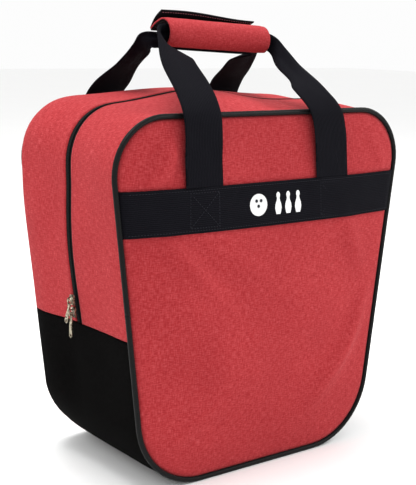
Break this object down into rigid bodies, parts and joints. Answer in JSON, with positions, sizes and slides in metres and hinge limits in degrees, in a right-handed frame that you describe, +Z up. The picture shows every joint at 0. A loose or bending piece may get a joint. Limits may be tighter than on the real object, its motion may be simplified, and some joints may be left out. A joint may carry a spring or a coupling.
{
  "type": "bowling ball bag",
  "caption": "Soft upright bag for a bowling ball with domed canvas panels, a zip round the top, piped seams, webbing handles and a padded grip wrap.",
  "frame": {"origin": "under the middle of the base, on the surface that the bag stands on", "axes": "+Z up, the front panel faces -Y, +X to the right seen from the front"},
  "size_m": [0.4237, 0.24, 0.5353],
  "materials": {
    "red_canvas": "heather canvas",
    "black_canvas": "plain weave canvas",
    "black_webbing": "ribbed webbing",
    "black_piping": "satin bound cord",
    "black_lining": "napped lining",
    "black_zip": "woven tape and nylon coil",
    "antique_nickel": "antique plated",
    "black_board": "matte sheet",
    "grey_foam": "closed-cell foam"
  },
  "bodies": {
    "root": {"front_panel_lower": "red_canvas", "front_lining_lower": "black_lining", "rear_panel": "red_canvas", "rear_lining": "black_lining", "rear_band": "black_webbing", "rear_gusset_red": "red_canvas", "base_gusset_black": "black_canvas", "front_piping_lower": "black_piping", "rear_piping": "black_piping", "rear_zip_tape": "black_zip", "rear_zip_coil": "black_zip", "base_board": "black_board", "ball_ring_foam": "grey_foam"},
    "front_half": {"front_panel_upper": "red_canvas", "front_lining_upper": "black_lining", "front_gusset_red": "red_canvas", "front_piping_upper": "black_piping", "front_zip_tape": "black_zip", "front_zip_coil": "black_zip", "front_band": "black_webbing"},
    "front_handle_body": {"front_handle": "black_webbing", "grip_cover": "red_canvas", "grip_lining": "black_lining"},
    "rear_handle_body": {"rear_handle": "black_webbing"},
    "flap_body": {"grip_flap": "black_lining"},
    "lower_slider": {"lower_slider_body": "antique_nickel", "lower_slider_bridge": "antique_nickel"},
    "upper_slider": {"upper_slider_body": "antique_nickel", "upper_slider_bridge": "antique_nickel"},
    "lower_pull_body": {"lower_pull": "antique_nickel"},
    "upper_pull_body": {"upper_pull": "antique_nickel"}
  },
  "joints": [
    {"name": "lid_fold", "type": "hinge", "parent": "root", "child": "front_half", "pos_m": [0, -0.122, 0.179], "axis": [1, 0, 0], "range_deg": [0, 65]},
    {"name": "front_handle_swing", "type": "hinge", "parent": "front_half", "child": "front_handle_body", "pos_m": [0, -0.1166, 0.344], "axis": [1, 0, 0], "range_deg": [0, 165]},
    {"name": "rear_handle_swing", "type": "hinge", "parent": "root", "child": "rear_handle_body", "pos_m": [0, 0.1166, 0.344], "axis": [-1, 0, 0], "range_deg": [0, 165]},
    {"name": "grip_flap_open", "type": "hinge", "parent": "front_handle_body", "child": "flap_body", "pos_m": [-0.007, 0.0278, 0.508], "axis": [-0.9989, 0, 0.0472], "range_deg": [0, 110]},
    {"name": "lower_slider_slide", "type": "slide", "parent": "root", "child": "lower_slider", "axis": [-0.1181, 0, 0.993], "range_m": [0, 0.065]},
    {"name": "upper_slider_slide", "type": "slide", "parent": "lower_slider", "child": "upper_slider", "axis": [-0.1181, 0, 0.993], "range_m": [0, 0.065]},
    {"name": "lower_pull_swing", "type": "hinge", "parent": "lower_slider", "child": "lower_pull_body", "pos_m": [-0.19785, 0, 0.19217], "axis": [0, 0.9992, 0.04], "range_deg": [0, 125]},
    {"name": "upper_pull_swing", "type": "hinge", "parent": "upper_slider", "child": "upper_pull_body", "pos_m": [-0.19957, 0, 0.20667], "axis": [0, 0.9553, 0.2955], "range_deg": [0, 140]}
  ],
  "couplings": [
    {"joint": "rear_handle_swing", "follows": "front_handle_swing", "ratio": 1}
  ]
}
